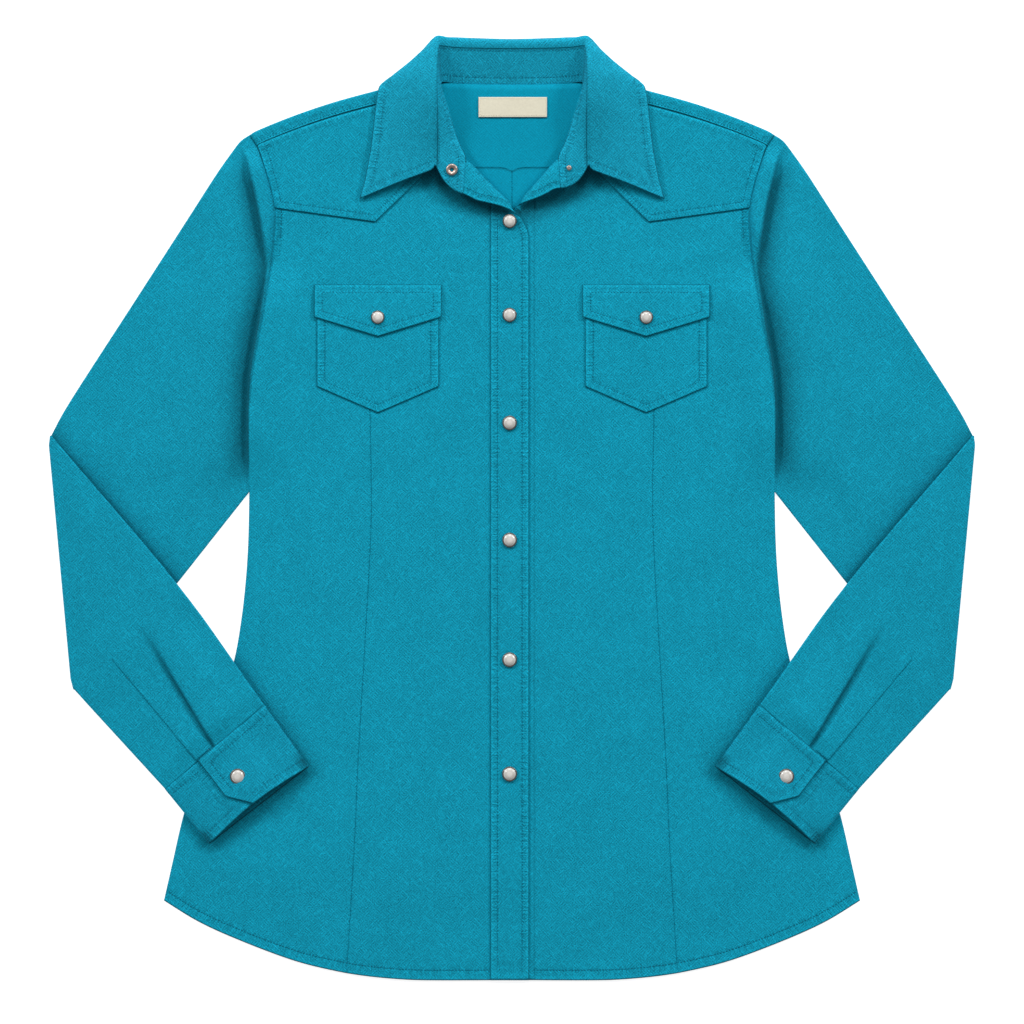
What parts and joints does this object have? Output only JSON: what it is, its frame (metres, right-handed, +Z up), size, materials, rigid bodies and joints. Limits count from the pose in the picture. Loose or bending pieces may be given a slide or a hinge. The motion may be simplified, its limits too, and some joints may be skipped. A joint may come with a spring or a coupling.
{
  "type": "western snap shirt",
  "caption": "Long-sleeved western shirt with pearl snaps, pointed yokes and flap pockets, laid flat on its back with the collar open and both sleeves folded in over the front",
  "frame": {"origin": "Centre of the bounding box, on the surface that the shirt lies on", "axes": "+X to the wearer's left, +Y from the hem to the collar, +Z up out of the surface, away from the back of the shirt"},
  "size_m": [0.741, 0.7562, 0.0246],
  "materials": {
    "teal_twill": "matt cotton twill with a slubbed diagonal",
    "pearl": "pearl cap in a metal rim",
    "snap_metal": "plated metal",
    "label_cloth": "plain woven label"
  },
  "bodies": {
    "root": {"back_left": "teal_twill", "back_right": "teal_twill", "back_yoke": "teal_twill", "collar": "teal_twill", "collar_stand": "teal_twill", "cuff_left": "teal_twill", "cuff_right": "teal_twill", "cuff_snap_left": "pearl", "cuff_snap_right": "pearl", "front_left": "teal_twill", "front_right": "teal_twill", "front_yoke_left": "teal_twill", "front_yoke_right": "teal_twill", "neck_label": "label_cloth", "neck_socket_right": "snap_metal", "neck_stud_left": "snap_metal", "placket_left": "teal_twill", "placket_right": "teal_twill", "placket_snap_1": "pearl", "placket_snap_2": "pearl", "placket_snap_3": "pearl", "placket_snap_4": "pearl", "placket_snap_5": "pearl", "placket_snap_6": "pearl", "pocket_flap_left": "teal_twill", "pocket_flap_right": "teal_twill", "pocket_left": "teal_twill", "pocket_right": "teal_twill", "pocket_snap_left": "pearl", "pocket_snap_right": "pearl", "sleeve_left": "teal_twill", "sleeve_placket_left": "teal_twill", "sleeve_placket_right": "teal_twill", "sleeve_right": "teal_twill"}
  },
  "joints": []
}
